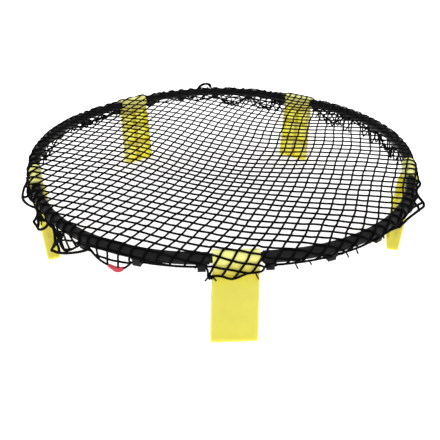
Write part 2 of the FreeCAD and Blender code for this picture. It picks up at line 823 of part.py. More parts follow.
def sleeve_line(net):
    """Lower edge of the net over a sleeve: a shallow V with a blunt point."""
    half = net.straight
    return blunted([(-half, -net.edge_at_hook), (-net.lap_point, -net.sleeve_drop),
                    (net.lap_point, -net.sleeve_drop), (half, -net.edge_at_hook)])


def largest_solid(shape):
    return max(shape.Solids, key=lambda solid: solid.Volume)


# edge cord

def cord_points(net):
    """Route of the edge cord: under each lobe's lower edge and through each hook."""
    points = []
    skirt_x = net.tube_inner + net.thickness / 2
    lap_x = net.sleeve_inner + net.thickness / 2
    for number in range(1, LEG_COUNT + 1):
        place = frame(leg_angle(number), net.apothem, net.height)
        high, low = -net.edge_at_hook - net.edge_gap, -net.sleeve_drop - net.edge_gap
        points += [place.multVec(vector(lap_x, y, z)) for y, z in (
            (-net.leg_side, high), (-net.lap_point, low), (net.lap_point, low),
            (net.leg_side, high))]
        middle = frame(tube_angle(number), net.reach, net.height)
        drops = lobe_drops(net, number)
        for index, angle in enumerate(hook_angles(net)):
            hook = middle.multiply(frame(angle, net.bend, 0))
            for side in (-1, 1):
                last = index == (0 if side < 0 else len(drops))
                half = net.hook_half + (net.end_margin if last else 0)
                points.append(hook.multVec(vector(net.crook_x, side * half, net.crook_z)))
            if index < len(drops):
                drop = drops[index]
                flat = net.deep_flat if drop > net.drop else net.flat
                lobe = middle.multiply(frame(angle + net.hook_turn / 2, net.bend, 0))
                points += [lobe.multVec(vector(skirt_x, side * flat, -drop - net.edge_gap))
                           for side in (-1, 1)]
    return points


def rounded_path(points):
    """Straight runs joined by tangent arcs, as large as the shorter run beside each allows."""
    edges = []
    last = points[0]
    radii = []
    for before, corner, after in zip(points, points[1:], points[2:]):
        back, ahead = before.sub(corner), after.sub(corner)
        reach = BEND_SHARE * min(back.Length, ahead.Length)
        half_turn = (math.pi - back.getAngle(ahead)) / 2
        radius = reach / math.tan(half_turn)
        radii.append(radius)
        start = corner.add(back.normalize() * reach)
        end = corner.add(ahead.normalize() * reach)
        inward = back.add(ahead).normalize()
        depth = radius * (1 / math.cos(half_turn) - 1)
        edges.append(Part.LineSegment(last, start).toShape())
        edges.append(Part.Arc(start, corner.add(inward * depth), end).toShape())
        last = end
    edges.append(Part.LineSegment(last, points[-1]).toShape())
    print("edge cord: %d runs, smallest bend radius %.1f mm" % (len(radii) + 1, min(radii)))
    return Part.Wire(edges)


def ring_points(middle, along, radius):
    """Closed ring of points round a cord, square to its run and outside its radius."""
    across = along.cross(vector(0, 0, 1)).normalize()
    upward = across.cross(along)
    reach = radius / math.cos(math.pi / HOLE_SIDES)
    turns = [2 * math.pi * side / HOLE_SIDES for side in range(HOLE_SIDES)]
    points = [middle.add(across * (reach * math.cos(turn))).add(upward * (reach * math.sin(turn)))
              for turn in turns]
    return points + points[:1]


def edge_cord(doc, net):
    """One cord round the whole net; returns the room that it and its knot need."""
    points = cord_points(net)
    along = points[1].sub(points[0]).normalize()
    knot = points[0].add(along * net.knot_distance)
    route = [knot.add(along * (net.knot_length / 2))] + points[1:] + [points[0]]
    route.append(knot.sub(along * (net.knot_length / 2)))
    path = rounded_path(route)

    section = Part.Wire(Part.makeCircle(net.cord_radius, route[0], along))
    tube = path.makePipeShell([section], True, False)
    room = Part.makePolygon(ring_points(route[0], along, net.cord_radius + net.cord_gap))
    expected = math.pi * net.cord_radius ** 2 * path.Length
    print("edge cord: length %.0f mm, volume %.4f of section times length"
          % (path.Length, tube.Volume / expected))
    feature(doc, net, "edge_cord", tube)
    return path.makePipeShell([room], True, False), cord_knot(doc, net, knot, along)


def cord_knot(doc, net, middle, along):
    """Lump where the cord's ends are tied, clear of the leg behind it; returns its room."""
    lap_x = net.sleeve_inner + net.thickness / 2
    spare = lap_x - net.leg_front - net.clearance
    outward = along.cross(vector(0, 0, 1)).normalize() * max(0, net.knot_radius - spare)

    def barrel(margin):
        start = middle.sub(along * (net.knot_length / 2 + margin)).add(outward)
        return Part.makeCylinder(net.knot_radius + margin, net.knot_length + 2 * margin,
                                 start, along)

    lump = barrel(0)
    rims = [edge for edge in lump.Edges if isinstance(edge.Curve, Part.Circle)]
    feature(doc, net, "cord_knot", lump.makeChamfer(net.knot_radius / 3, rims))
    return barrel(net.cord_gap)


def marker_tag(doc, net, cord_room):
    """Red tag folded round the edge cord at a slack lobe; returns the room that it needs."""
    number = LEG_COUNT
    index = 2
    middle = frame(tube_angle(number), net.reach, net.height)
    angle = hook_angles(net)[index] + net.hook_turn / 2
    place = middle.multiply(frame(angle, net.bend, 0))
    drop = lobe_drops(net, number)[index]
    centre = -drop - net.edge_gap
    top = centre + net.cord_radius + net.cord_gap + net.tag_wall
    x = net.tube_inner + net.thickness / 2

    def block(margin):
        low = vector(x - net.tag_thickness / 2 - margin, -net.tag_length / 2 - margin,
                     top - net.tag_width - margin)
        box = Part.makeBox(net.tag_thickness + 2 * margin, net.tag_length + 2 * margin,
                           net.tag_width + 2 * margin, low)
        box.Placement = place.multiply(box.Placement)
        return box

    feature(doc, net, "marker_tag", block(0).cut(cord_room))
    return block(net.cord_gap)


# build

def check(doc, parts):
    doc.recompute()
    for item in doc.Objects:
        if "Invalid" in item.State or "Error" in item.State:
            raise RuntimeError("%s failed to build: %s" % (item.Label, item.State))
    for item in parts:
        if item.Shape.isNull() or not item.Shape.isValid() or not item.Shape.Solids:
            raise RuntimeError("%s has no valid solid" % item.Label)


def set_round(doc, size, body, name, angle_of, reach):
    """Put the first piece in its place and equal ones in the places round the ring."""
    doc.recompute()
    shape = body.Shape.copy()
    put(body, size, angle_of(1), reach)
    for number in range(2, LEG_COUNT + 1):
        item = doc.addObject("Part::Feature", "%s_%d" % (name, number))
        item.Shape = shape
        put(item, size, angle_of(number), reach)


def main():
    doc = FreeCAD.newDocument("Roundnet")
    size = make_sheet(doc)
    set_round(doc, size, rim_tube(doc, size), "rim_tube", tube_angle, bend_reach(size))
    set_round(doc, size, leg(doc, size), "leg", leg_angle, size["ring_apothem"])
    net = NetSizes(size)
    net_bed(doc, net)
    cord_room, knot_room = edge_cord(doc, net)
    tag_room = marker_tag(doc, net, cord_room)
    for number in range(1, LEG_COUNT + 1):
        net_skirt(doc, net, number, [tag_room])
        net_lap(doc, net, number, [knot_room])
    doc.recompute()
    parts = [item for item in doc.Objects
             if item.TypeId in ("PartDesign::Body", "Part::Feature")]
    check(doc, parts)
    os.makedirs("parts", exist_ok=True)
    for item in parts:
        item.Shape.exportStep(os.path.join("parts", item.Label + ".step"))
        box = item.Shape.BoundBox
        print("%-14s solids %d volume %10.0f z %.1f to %.1f" % (
            item.Label, len(item.Shape.Solids), item.Shape.Volume, box.ZMin, box.ZMax))


main()
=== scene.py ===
import bisect
import math
import random

import bpy
from mathutils import Matrix, Vector, noise


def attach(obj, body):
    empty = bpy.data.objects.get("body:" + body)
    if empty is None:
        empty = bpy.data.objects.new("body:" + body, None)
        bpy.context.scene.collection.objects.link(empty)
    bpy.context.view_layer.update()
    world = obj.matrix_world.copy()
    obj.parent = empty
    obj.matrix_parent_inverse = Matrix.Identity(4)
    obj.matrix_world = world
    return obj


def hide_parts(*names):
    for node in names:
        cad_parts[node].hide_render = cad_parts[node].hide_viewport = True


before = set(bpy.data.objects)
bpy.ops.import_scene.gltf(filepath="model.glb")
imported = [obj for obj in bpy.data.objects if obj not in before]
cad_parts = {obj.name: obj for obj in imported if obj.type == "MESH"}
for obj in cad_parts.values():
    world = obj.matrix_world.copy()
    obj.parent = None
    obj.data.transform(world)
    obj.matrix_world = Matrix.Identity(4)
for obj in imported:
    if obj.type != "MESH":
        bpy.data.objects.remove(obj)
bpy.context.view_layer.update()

# ring, as the CAD has it, in metres: its middle, its line's height, its distance from the middle
# at each leg, half of the straight run there, and the bend of the tubes between the legs
LEGS = 5
TURN = 2 * math.pi / LEGS
RING_Y = -0.00496
AXIS_Z = 0.191
APOTHEM = 0.439
STRAIGHT = 0.045
BEND_REACH = STRAIGHT / math.sin(TURN / 2)
BEND = APOTHEM - BEND_REACH * math.cos(TURN / 2)
TUBE_R = 0.011
SLEEVE_R = 0.0145
SLEEVE_HALF = 0.040
HOOKS = 5
HOOK_INSET = 0.0135
HOOK_TURN = (TURN - 2 * HOOK_INSET / BEND) / (HOOKS - 1)

# net: its cords, the gap under them, the flat net's width and pitch, and a length below which
# there is none
SEED = 7
CORD_R = 0.00195
CLEAR = 0.0003
NET_Z = AXIS_Z + TUBE_R + CLEAR + CORD_R
NET_REACH = 0.55
TINY = 1e-6


def put(name, data):
    item = bpy.data.objects.new(name, data)
    bpy.context.scene.collection.objects.link(item)
    return item


def each(kind):
    """Names of the five nodes of one kind."""
    return ["%s_%d" % (kind, number) for number in range(1, LEGS + 1)]


def leg_angle(number):
    return -math.pi / 2 + TURN * (number - 1)


def tube_angle(number):
    return leg_angle(number) + TURN / 2


def direction(angle):
    return Vector((math.cos(angle), math.sin(angle), 0))


def smooth(x):
    x = min(1.0, max(0.0, x))
    return x * x * (3 - 2 * x)


def mix(a, b, share):
    return a + (b - a) * share


# ring geometry

def ring_at(angle):
    """Centre-line radius at an angle, and distance along the ring from the nearest leg."""
    nearest = min(range(1, LEGS + 1), key=lambda k: -math.cos(angle - leg_angle(k)))
    off = math.remainder(angle - leg_angle(nearest), 2 * math.pi)
    along = APOTHEM * math.tan(off)
    if abs(along) <= STRAIGHT:
        return APOTHEM / math.cos(off), abs(along)
    side = leg_angle(nearest) + math.copysign(TURN / 2, off)
    away = math.remainder(angle - side, 2 * math.pi)
    middle = BEND_REACH * math.cos(away)
    radius = middle + math.sqrt(BEND ** 2 - (BEND_REACH * math.sin(away)) ** 2)
    return radius, STRAIGHT + APOTHEM * (abs(off) - math.atan(STRAIGHT / APOTHEM))


def local(angle, reach, out, along, up):
    """Point in a frame that faces outward at a distance from the ring's middle."""
    d = direction(angle)
    side = Vector((-d.y, d.x, 0))
    return d * (reach + out) + side * along + Vector((0, RING_Y, AXIS_Z + up))


def tube_local(number, angle, out, along, up):
    """Point by a tube, at an angle along its bend."""
    base = direction(tube_angle(number)) * BEND_REACH
    d = direction(tube_angle(number) + angle)
    side = Vector((-d.y, d.x, 0))
    return base + d * (BEND + out) + side * along + Vector((0, RING_Y, AXIS_Z + up))


# route of the edge cord: as in the part's source, but for what the notes below name

EDGE_R = 0.002
EDGE_GAP = 0.0028
EDGE_AT_HOOK = 0.016
# how low the net's edge hangs in the four lobes of each tube
DROPS = {"tight": 0.0175, "slack": 0.027, "deep": 0.046}
LOBES = ["tight tight tight slack", "deep deep slack deep", "deep deep slack tight",
         "slack tight deep slack", "slack deep slack tight"]
SLEEVE_DROP = 0.036
LOBE_FLAT = 0.020
DEEP_FLAT = 0.009
LAP_POINT = 0.00675
LEG_SIDE = 0.0455
SHEET_HALF = 0.0008
SKIRT_X = TUBE_R + CLEAR + SHEET_HALF
LAP_X = SLEEVE_R + CLEAR + SHEET_HALF
HOOK_HALF = 0.0085
END_MARGIN = 0.0012
CROOK_X = 0.00215
CROOK_Z = -0.01685
# the net pulls a tight lobe's edge up against the tube: how far it moves in and up
PULL_IN = 0.0036
PULL_UP = 0.0088
# the edge under the front leg's sleeve, lopsided as in the photograph: along it and up
FRONT_LAP = [(-0.0475, -0.0274), (-0.027, -0.0258), (-0.011, -0.0345), (-0.002, -0.0335),
             (0.010, -0.0268), (0.020, -0.0222), (0.032, -0.0215), (0.0455, -0.0188)]
# the lobe that holds the tag, its tube and its count from 0, sags more on its right: along it
# and up
TAG_AT = (5, 2)
TAG_LOBE = [(-0.018, 0), (0.031, -0.0075)]


def lobe_drops(number):
    return [DROPS[word] for word in LOBES[number - 1].split()]


def hook_angles():
    return [HOOK_TURN * (step - (HOOKS - 1) / 2) for step in range(HOOKS)]


def cord_route():
    """Control points of the edge cord, from the front leg round the ring and back."""
    points = []
    high, low = -EDGE_AT_HOOK - EDGE_GAP, -SLEEVE_DROP - EDGE_GAP
    lap = [(-LEG_SIDE, high), (-LAP_POINT, low), (LAP_POINT, low), (LEG_SIDE, high)]
    for number in range(1, LEGS + 1):
        for along, up in (FRONT_LAP if number == 1 else lap):
            points.append(local(leg_angle(number), APOTHEM, LAP_X, along, up))
        drops = lobe_drops(number)
        for index, angle in enumerate(hook_angles()):
            for side in (-1, 1):
                last = index == (0 if side < 0 else len(drops))
                half = HOOK_HALF + (END_MARGIN if last else 0)
                points.append(tube_local(number, angle, CROOK_X, side * half, CROOK_Z))
            if index < len(drops):
                drop = drops[index]
                flat = DEEP_FLAT if drop > DROPS["slack"] else LOBE_FLAT
                pull = 1 if drop == DROPS["tight"] else 0
                out = SKIRT_X - PULL_IN * pull
                sags = TAG_LOBE if (number, index) == TAG_AT else [(-flat, 0), (flat, 0)]
                for along, sag in sags:
                    points.append(tube_local(number, angle + HOOK_TURN / 2, out, along,
                                             sag - drop - EDGE_GAP + PULL_UP * pull))
    return points


# materials

class Nodes:
    """Short names for building a material's node tree."""

    def __init__(self, name):
        self.material = bpy.data.materials.new(name)
        self.material.use_nodes = True
        self.tree = self.material.node_tree
        self.shader = next(n for n in self.tree.nodes if n.type == "BSDF_PRINCIPLED")
        self.coords = self.tree.nodes.new("ShaderNodeTexCoord")

    def add(self, kind, inputs=None, **settings):
        node = self.tree.nodes.new(kind)
        for key, value in settings.items():
            setattr(node, key, value)
        for key, value in (inputs or {}).items():
            self.join(value, node, key)
        return node

    def join(self, value, node, key):
        if isinstance(value, bpy.types.NodeSocket):
            self.tree.links.new(value, node.inputs[key])
        elif isinstance(value, bpy.types.Node):
            self.tree.links.new(value.outputs[0], node.inputs[key])
        else:
            node.inputs[key].default_value = value

    def set(self, **inputs):
        for key, value in inputs.items():
            self.join(value, self.shader, key.replace("_", " "))
        return self.material

    def noise(self, scale, detail, rough=0.55):
        return self.add("ShaderNodeTexNoise", {"Vector": self.coords.outputs["Object"],
                                               "Scale": scale, "Detail": detail,
                                               "Roughness": rough})

    def ramp(self, fac, stops):
        node = self.add("ShaderNodeValToRGB", {"Fac": fac})
        ramp = node.color_ramp
        while len(ramp.elements) < len(stops):
            ramp.elements.new(0.5)
        for element, (place, colour) in zip(ramp.elements, stops):
            element.position = place
            element.color = (*colour, 1)
        return node

    def span(self, value, low, high, to_low=0.0, to_high=1.0):
        return self.add("ShaderNodeMapRange", {"Value": value, "From Min": low, "From Max": high,
                                               "To Min": to_low, "To Max": to_high})

    def math(self, operation, a, b=0.0):
        return self.add("ShaderNodeMath", {0: a, 1: b}, operation=operation)

    def blend(self, fac, a, b, mode="MIX"):
        """Blend of two colours. A mix node's colours are its inputs 6 and 7 and its output 2."""
        a, b = ((*value, 1) if isinstance(value, tuple) else value for value in (a, b))
        node = self.add("ShaderNodeMix", {"Factor": fac}, data_type="RGBA", blend_type=mode)
        self.join(a, node, 6)
        self.join(b, node, 7)
        return node.outputs[2]

    def bump(self, height, strength, distance, normal=None):
        inputs = {"Height": height, "Strength": strength, "Distance": distance}
        if normal is not None:
            inputs["Normal"] = normal
        return self.add("ShaderNodeBump", inputs)


def tube_plastic():
    """Black moulded plastic with a satin skin, fine grain and light scuffs."""
    n = Nodes("tube_black")
    grain = n.noise(900, 2)
    cloud = n.noise(14, 4)
    scuff = n.noise(60, 6, 0.7)
    marks = n.span(scuff, 0.62, 0.75)
    base = n.ramp(cloud, [(0.3, (0.003, 0.003, 0.0033)), (0.7, (0.006, 0.006, 0.0064))])
    colour = n.blend(n.math("MULTIPLY", marks, 0.25), base.outputs[0], (0.05, 0.05, 0.052))
    rough = n.span(cloud, 0.3, 0.7, 0.36, 0.5)
    bump = n.bump(grain, 0.25, 0.0002)
    return n.set(Base_Color=colour, Roughness=rough, Normal=bump, Specular_IOR_Level=0.12)


# heights where a leg's thin plates give way to its thick sleeve, and of its top
PLATE_TOP = 0.155
SLEEVE_LOW = 0.18
LEG_TOP = 0.21


def leg_plastic():
    """Yellow moulded plastic, slightly see-through, with painted light and shade: paler over the
    sleeve's top, a darker orange band under the sleeve, and a paler inside of the channel.
    """
    n = Nodes("leg_yellow")
    where = n.add("ShaderNodeSeparateXYZ", {"Vector": n.coords.outputs["Object"]})
    # colour by height holds painted light and shade: a darker orange band of painted shade just
    # under the sleeve, and a paler sleeve top as painted light from above
    height = n.ramp(n.span(where.outputs["Z"], 0.0, LEG_TOP), [
        (0.0, (0.93, 0.735, 0.10)), (0.62, (0.94, 0.745, 0.11)), (0.76, (0.89, 0.65, 0.06)),
        (0.84, (0.84, 0.79, 0.15)), (1.0, (0.88, 0.89, 0.31))])
    clear = n.span(where.outputs["Z"], PLATE_TOP, SLEEVE_LOW, 1.0, 0.1)
    # painted light: the channel's inside, which faces the ring's middle, is made paler to stand in
    # for light that reaches it
    facing = n.add("ShaderNodeVectorMath", {0: n.coords.outputs["Normal"],
                                            1: n.coords.outputs["Object"]},
                   operation="DOT_PRODUCT")
    inside = n.math("MULTIPLY", n.span(facing.outputs["Value"], -0.15, -0.35), clear)
    base = n.blend(inside, height.outputs[0], (0.97, 0.83, 0.42))
    cloud = n.noise(9, 4)
    flow = n.noise(38, 3)
    tint = n.ramp(cloud, [(0.35, (0.93, 0.9, 0.86)), (0.65, (1, 1, 1))])
    colour = n.blend(1.0, base, tint.outputs[0], "MULTIPLY")
    rough = n.span(flow, 0.35, 0.7, 0.3, 0.44)
    grain = n.noise(1400, 2)
    waves = n.noise(22, 2)
    bump = n.bump(grain, 0.12, 0.0001, n.bump(waves, 0.25, 0.0006).outputs[0])
    return n.set(Base_Color=colour, Roughness=rough, Normal=bump, Specular_IOR_Level=0.15,
                 Subsurface_Weight=clear, Subsurface_Radius=(1.0, 0.9, 0.08),
                 Subsurface_Scale=0.035)


def cord_fibre(name, dark, light, turns, strands):
    """Black twisted fibre: slanting strands round the cord, with fuzz and worn tips."""
    n = Nodes(name)
    uv = n.add("ShaderNodeSeparateXYZ", {"Vector": n.coords.outputs["UV"]})
    run = n.math("MULTIPLY", uv.outputs["X"], turns)
    slant = n.math("ADD", run, n.math("MULTIPLY", uv.outputs["Y"], strands))
    wave = n.math("SINE", n.math("MULTIPLY", slant, 2 * math.pi))
    strand = n.span(wave, -1.0, 1.0)
    fuzz = n.noise(2600, 3)
    patch = n.noise(30, 3)
    tone = n.math("MULTIPLY", strand, n.span(patch, 0.3, 0.7, 0.5, 1.0))
    colour = n.ramp(tone, [(0.0, dark), (1.0, light)])
    height = n.math("ADD", strand, n.math("MULTIPLY", fuzz, 0.5))
    bump = n.bump(height, 0.6, 0.0004)
    rough = n.span(fuzz, 0.3, 0.7, 0.6, 0.85)
    return n.set(Base_Color=colour.outputs[0], Roughness=rough, Normal=bump,
                 Specular_IOR_Level=0.03)


def tag_cloth():
    """Red woven tape: plain weave with a little shading between its threads."""
    n = Nodes("tag_red")
    warp, weft = (n.add("ShaderNodeTexWave", {"Vector": n.coords.outputs["UV"], "Scale": 9.0,
                                              "Distortion": 0.4}, bands_direction=way)
                  for way in "XY")
    weave = n.math("MULTIPLY", warp.outputs["Fac"], weft.outputs["Fac"])
    patch = n.noise(140, 3)
    shade = n.math("ADD", n.math("MULTIPLY", weave, 0.5), n.math("MULTIPLY", patch, 0.5))
    colour = n.ramp(shade, [(0.2, (0.42, 0.012, 0.03)), (0.75, (0.8, 0.05, 0.09))])
    bump = n.bump(weave, 0.5, 0.0003)
    return n.set(Base_Color=colour.outputs[0], Roughness=0.8, Normal=bump, Sheen_Weight=0.3)


# mesh helpers

def mesh_piece(name, points, faces, uvs, layer_name, material):
    """Smooth mesh with a UV for each face's corners."""
    mesh = bpy.data.meshes.new(name)
    mesh.from_pydata(points, [], faces)
    layer = mesh.uv_layers.new(name=layer_name)
    for index, uv in enumerate(uv for face in uvs for uv in face):
        layer.data[index].uv = uv
    mesh.polygons.foreach_set("use_smooth", [True] * len(mesh.polygons))
    mesh.materials.append(material)
    mesh.update()
    return put(name, mesh)


class Tubes:
    """Gathers many cords and lumps into one mesh with UVs along and round each cord."""

    # run of a cord that each ring of a lump takes up in the UV
    LUMP_RUN = 0.001

    def __init__(self):
        self.points = []
        self.faces = []
        self.uvs = []

    def cord(self, path, radius, sides=6):
        """Add a tube that follows points, with a steady section."""
        path = [p for p, q in zip(path, path[1:] + [None])
                if q is None or (p - q).length > TINY]
        if len(path) < 2:
            return
        first = len(self.points)
        across = None
        run = 0.0
        runs = []
        for index, point in enumerate(path):
            before = path[max(index - 1, 0)]
            after = path[min(index + 1, len(path) - 1)]
            along = (after - before).normalized()
            if across is None:
                across = along.orthogonal().normalized()
            across = (across - along * across.dot(along)).normalized()
            other = along.cross(across)
            if index:
                run += (point - path[index - 1]).length
            runs.append(run)
            for side in range(sides):
                turn = 2 * math.pi * side / sides
                self.points.append(point + (across * math.cos(turn) + other * math.sin(turn))
                                   * radius)
        for index in range(len(path) - 1):
            for side in range(sides):
                following = (side + 1) % sides
                a = first + index * sides
                b = a + sides
                self.faces.append((a + side, a + following, b + following, b + side))
                u, w = runs[index], runs[index + 1]
                s, t = side / sides, (side + 1) / sides
                self.uvs.append(((u, s), (u, t), (w, t), (w, s)))
        for ring, flip in ((0, True), (len(path) - 1, False)):
            face = [first + ring * sides + side for side in range(sides)]
            if flip:
                face.reverse()
            self.faces.append(tuple(face))
            self.uvs.append(tuple((runs[ring], side / sides) for side in range(sides)))

    def lump(self, middle, along, across, sizes, rings=4, sides=8):
        """Add a rounded lump, as a knot's body."""
        normal = along.cross(across).normalized()
        first = len(self.points)
        for ring in range(1, rings):
            lift = math.pi * ring / rings
            for side in range(sides):
                turn = 2 * math.pi * side / sides
                self.points.append(middle + along * (sizes[0] * math.cos(lift))
                                   + across * (sizes[1] * math.sin(lift) * math.cos(turn))
                                   + normal * (sizes[2] * math.sin(lift) * math.sin(turn)))
        top = len(self.points)
        self.points.append(middle + along * sizes[0])
        bottom = top + 1
        self.points.append(middle - along * sizes[0])
        for ring in range(rings - 2):
            for side in range(sides):
                following = (side + 1) % sides
                a = first + ring * sides
                b = a + sides
                self.faces.append((a + side, b + side, b + following, a + following))
                s, u = side / sides, ring * self.LUMP_RUN
                w = u + self.LUMP_RUN
                self.uvs.append(((u, s), (w, s), (w, s), (u, s)))
        last = first + (rings - 2) * sides
        for side in range(sides):
            following = (side + 1) % sides
            self.faces.append((top, first + side, first + following))
            self.faces.append((bottom, last + following, last + side))
            s = side / sides
            self.uvs += [((0, s), (self.LUMP_RUN, s), (self.LUMP_RUN, s))] * 2

    def build(self, name, material):
        return mesh_piece(name, self.points, self.faces, self.uvs, "along", material)


def nurbs(name, route, radius, material):
    """Cord as one open spline of order 3 through its route's control points."""
    data = bpy.data.curves.new(name, "CURVE")
    data.dimensions = "3D"
    spline = data.splines.new("NURBS")
    spline.points.add(len(route) - 1)
    for point, place in zip(spline.points, route):
        point.co = (*place, 1)
    spline.order_u = 3
    spline.use_endpoint_u = True
    spline.resolution_u = 8
    data.bevel_depth = radius
    data.bevel_resolution = 4
    data.use_fill_caps = True
    data.materials.append(material)
    return put(name, data)


def spline_points(piece):
    """Points along a cord's spline, read from its curve with no bevel."""
    depth = piece.data.bevel_depth
    piece.data.bevel_depth = 0
    bpy.context.view_layer.update()
    evaluated = piece.evaluated_get(bpy.context.evaluated_depsgraph_get())
    mesh = bpy.data.meshes.new_from_object(evaluated)
    points = [vertex.co.copy() for vertex in mesh.vertices]
    bpy.data.meshes.remove(mesh)
    piece.data.bevel_depth = depth
    bpy.context.view_layer.update()
    return points


# camera and light

# the photograph's camera, fitted to the ring and the legs: turned right, down and over
SENSOR = 36
LENS = 38.17
CAMERA_AT = (-0.0594, -1.0633 + RING_Y, 0.6733)
CAMERA_TURN = (2.92, 33.01, 0.236)
FRONT_LIGHT = dict(place=(1.2, -7.0, 1.6), aim=(0, 0, 0.1), size=(5.0, 2.8), power=80)
SKY = 1.2
FLOOR_HALF = 30
FLOOR_GLOW = 0.45


def camera():
    data = bpy.data.cameras.new("camera")
    data.sensor_width = SENSOR
    data.lens = LENS
    item = put("camera", data)
    yaw, pitch, roll = map(math.radians, CAMERA_TURN)
    ahead = Vector((math.sin(yaw) * math.cos(pitch), math.cos(yaw) * math.cos(pitch),
                    -math.sin(pitch)))
    right = Vector((math.cos(yaw), -math.sin(yaw), 0))
    up = right.cross(ahead)
    right = right * math.cos(roll) + up * math.sin(roll)
    up = right.cross(ahead)
    turn = Matrix((right, up, -ahead)).transposed()
    item.matrix_world = Matrix.Translation(CAMERA_AT) @ turn.to_4x4()
    bpy.context.scene.camera = item


def area_light(name, place, aim, size, power):
    data = bpy.data.lights.new(name, "AREA")
    data.shape = "RECTANGLE"
    data.size, data.size_y = size
    data.energy = power
    item = put(name, data)
    item.location = place
    item.rotation_euler = (Vector(aim) - Vector(place)).to_track_quat("-Z", "Y").to_euler()


def studio():
    """Even pale light, one soft light in front, and a floor that is white where it is seen."""
    bpy.context.scene.view_settings.view_transform = "Standard"
    world = bpy.data.worlds.new("studio")
    bpy.context.scene.world = world
    world.use_nodes = True
    background = world.node_tree.nodes["Background"]
    background.inputs["Color"].default_value = (1, 1, 1, 1)
    background.inputs["Strength"].default_value = SKY
    area_light("front", **FRONT_LIGHT)
    mesh = bpy.data.meshes.new("floor")
    mesh.from_pydata([(x * FLOOR_HALF, y * FLOOR_HALF, 0)
                      for x, y in ((-1, -1), (1, -1), (1, 1), (-1, 1))], [], [(0, 1, 2, 3)])
    floor = put("floor", mesh)
    n = Nodes("floor_white")
    n.set(Base_Color=(0.92, 0.92, 0.92, 1), Roughness=0.9, Specular_IOR_Level=0.0,
          Emission_Color=(1, 1, 1, 1))
    seen = n.add("ShaderNodeLightPath")
    sight = n.math("MAXIMUM", seen.outputs["Is Camera Ray"], seen.outputs["Is Glossy Ray"])
    sight = n.math("MAXIMUM", sight, seen.outputs["Is Transmission Ray"])
    n.join(n.math("MULTIPLY", sight, FLOOR_GLOW), n.shader, "Emission Strength")
    mesh.materials.append(n.material)


# net

# places where the net's two families of cords were read, and how far each reading counts
PLACE_SPREAD = 0.11
PLACES = [(0.0, 0.0), (-0.10, -0.28), (0.13, -0.27), (0.29, -0.09), (0.27, 0.13), (0.15, 0.26),
          (-0.05, 0.30), (-0.25, 0.17), (-0.29, -0.08)]
# at each place: cords counted from a fixed one, the heading in which the count grows, in
# degrees, and the pitch in mm
ACROSS = [(-4.65, 63, 26.0), (-19.4, 66, 20.3), (-15.6, 77, 19.6), (-6.4, 77, 21.5),
          (2.0, 81, 26.6), (6.2, 39, 24.0), (3.8, 42.5, 24.6), (-3.55, 72, 21.1),
          (-14.65, 71.5, 21.7)]
ALONG = [(17.2, -23.5, 22.8), (18.1, -34.5, 23.2), (27.75, -28.5, 23.0), (31.0, -29.5, 21.4),
         (26.55, -25.5, 19.0), (19.75, -28.5, 15.8), (11.3, -20, 20.7), (4.85, -22, 24.2),
         (6.9, -27, 24.2)]
# search for a crossing: its rounds, the step over which a gradient is taken, the error allowed,
# the longest move, and the least determinant of the two gradients, below which the families run
# too much alike to cross
SEARCH_ROUNDS = 12
SLOPE_STEP = 1e-5
CROSSING_ERROR = 1e-3
LONGEST_MOVE = 0.03
LEAST_DETERMINANT = 300
# how far the knots wander: together with their neighbours, and each on its own
WANDER = 0.0030
WANDER_SCALE = 14
WANDER_SLICE = 3.1
STRAY = 0.0009
# a cord's own bow and dip between two knots, and its step by the rim and on the flat
BOW = 0.0009
DIP = 0.0006
RIM_FROM = 0.425
RIM_STEP = 0.0035
FLAT_STEP = 0.0078
CUT_ROUNDS = 18
# step aside that shows how the net lies at a knot, and the knots' sizes
PROBE = 0.002
KNOT_SIZES = (0.0029, 0.0024, 0.0021)
LOOSE_KNOT_SIZES = (0.0027, 0.0021, 0.0019)


def count_at(readings, x, y):
    """Which of a family's cords lies at a point: whole where a cord runs."""
    away = [((x - px) ** 2 + (y - py) ** 2) / (2 * PLACE_SPREAD ** 2) for px, py in PLACES]
    nearest = min(away)
    total = value = 0.0
    for gap, (px, py), (count, heading, pitch) in zip(away, PLACES, readings):
        weight = math.exp(nearest - gap)
        turn = math.radians(heading)
        step = ((x - px) * math.cos(turn) + (y - py) * math.sin(turn)) / (pitch / 1000)
        value += weight * (count + step)
        total += weight
    return value / total


def field_u(x, y):
    return count_at(ACROSS, x, y)


def field_v(x, y):
    return count_at(ALONG, x, y)


def gradient(field, x, y):
    step = SLOPE_STEP
    return ((field(x + step, y) - field(x - step, y)) / (2 * step),
            (field(x, y + step) - field(x, y - step)) / (2 * step))


def crossing(row, column, start):
    """Point where two of the net's cords cross, searched from a point near it."""
    x, y = start
    for _ in range(SEARCH_ROUNDS):
        fu, fv = field_u(x, y) - row, field_v(x, y) - column
        (a, b), (c, d) = gradient(field_u, x, y), gradient(field_v, x, y)
        det = a * d - b * c
        if abs(det) < LEAST_DETERMINANT:
            return None
        x -= (fu * d - fv * b) / det
        y -= (a * fv - c * fu) / det
    met = abs(fu) + abs(fv) < CROSSING_ERROR and math.dist((x, y), start) < LONGEST_MOVE
    return (x, y) if met else None


def crossings():
    """All crossings of the two families that the net can reach, found from the middle out."""
    first = round(field_u(0, 0)), round(field_v(0, 0))
    found = {first: crossing(*first, (0.0, 0.0))}
    edge = [first]
    while edge:
        row, column = edge.pop(0)
        x, y = found[row, column]
        (a, b), (c, d) = gradient(field_u, x, y), gradient(field_v, x, y)
        det = a * d - b * c
        for step, start in (((1, 0), (x + d / det, y - c / det)),
                            ((-1, 0), (x - d / det, y + c / det)),
                            ((0, 1), (x - b / det, y + a / det)),
                            ((0, -1), (x + b / det, y - a / det))):
            key = row + step[0], column + step[1]
            if key in found or math.hypot(*start) > NET_REACH:
                continue
            spot = crossing(*key, start)
            if spot is not None:
                found[key] = spot
                edge.append(key)
    return found


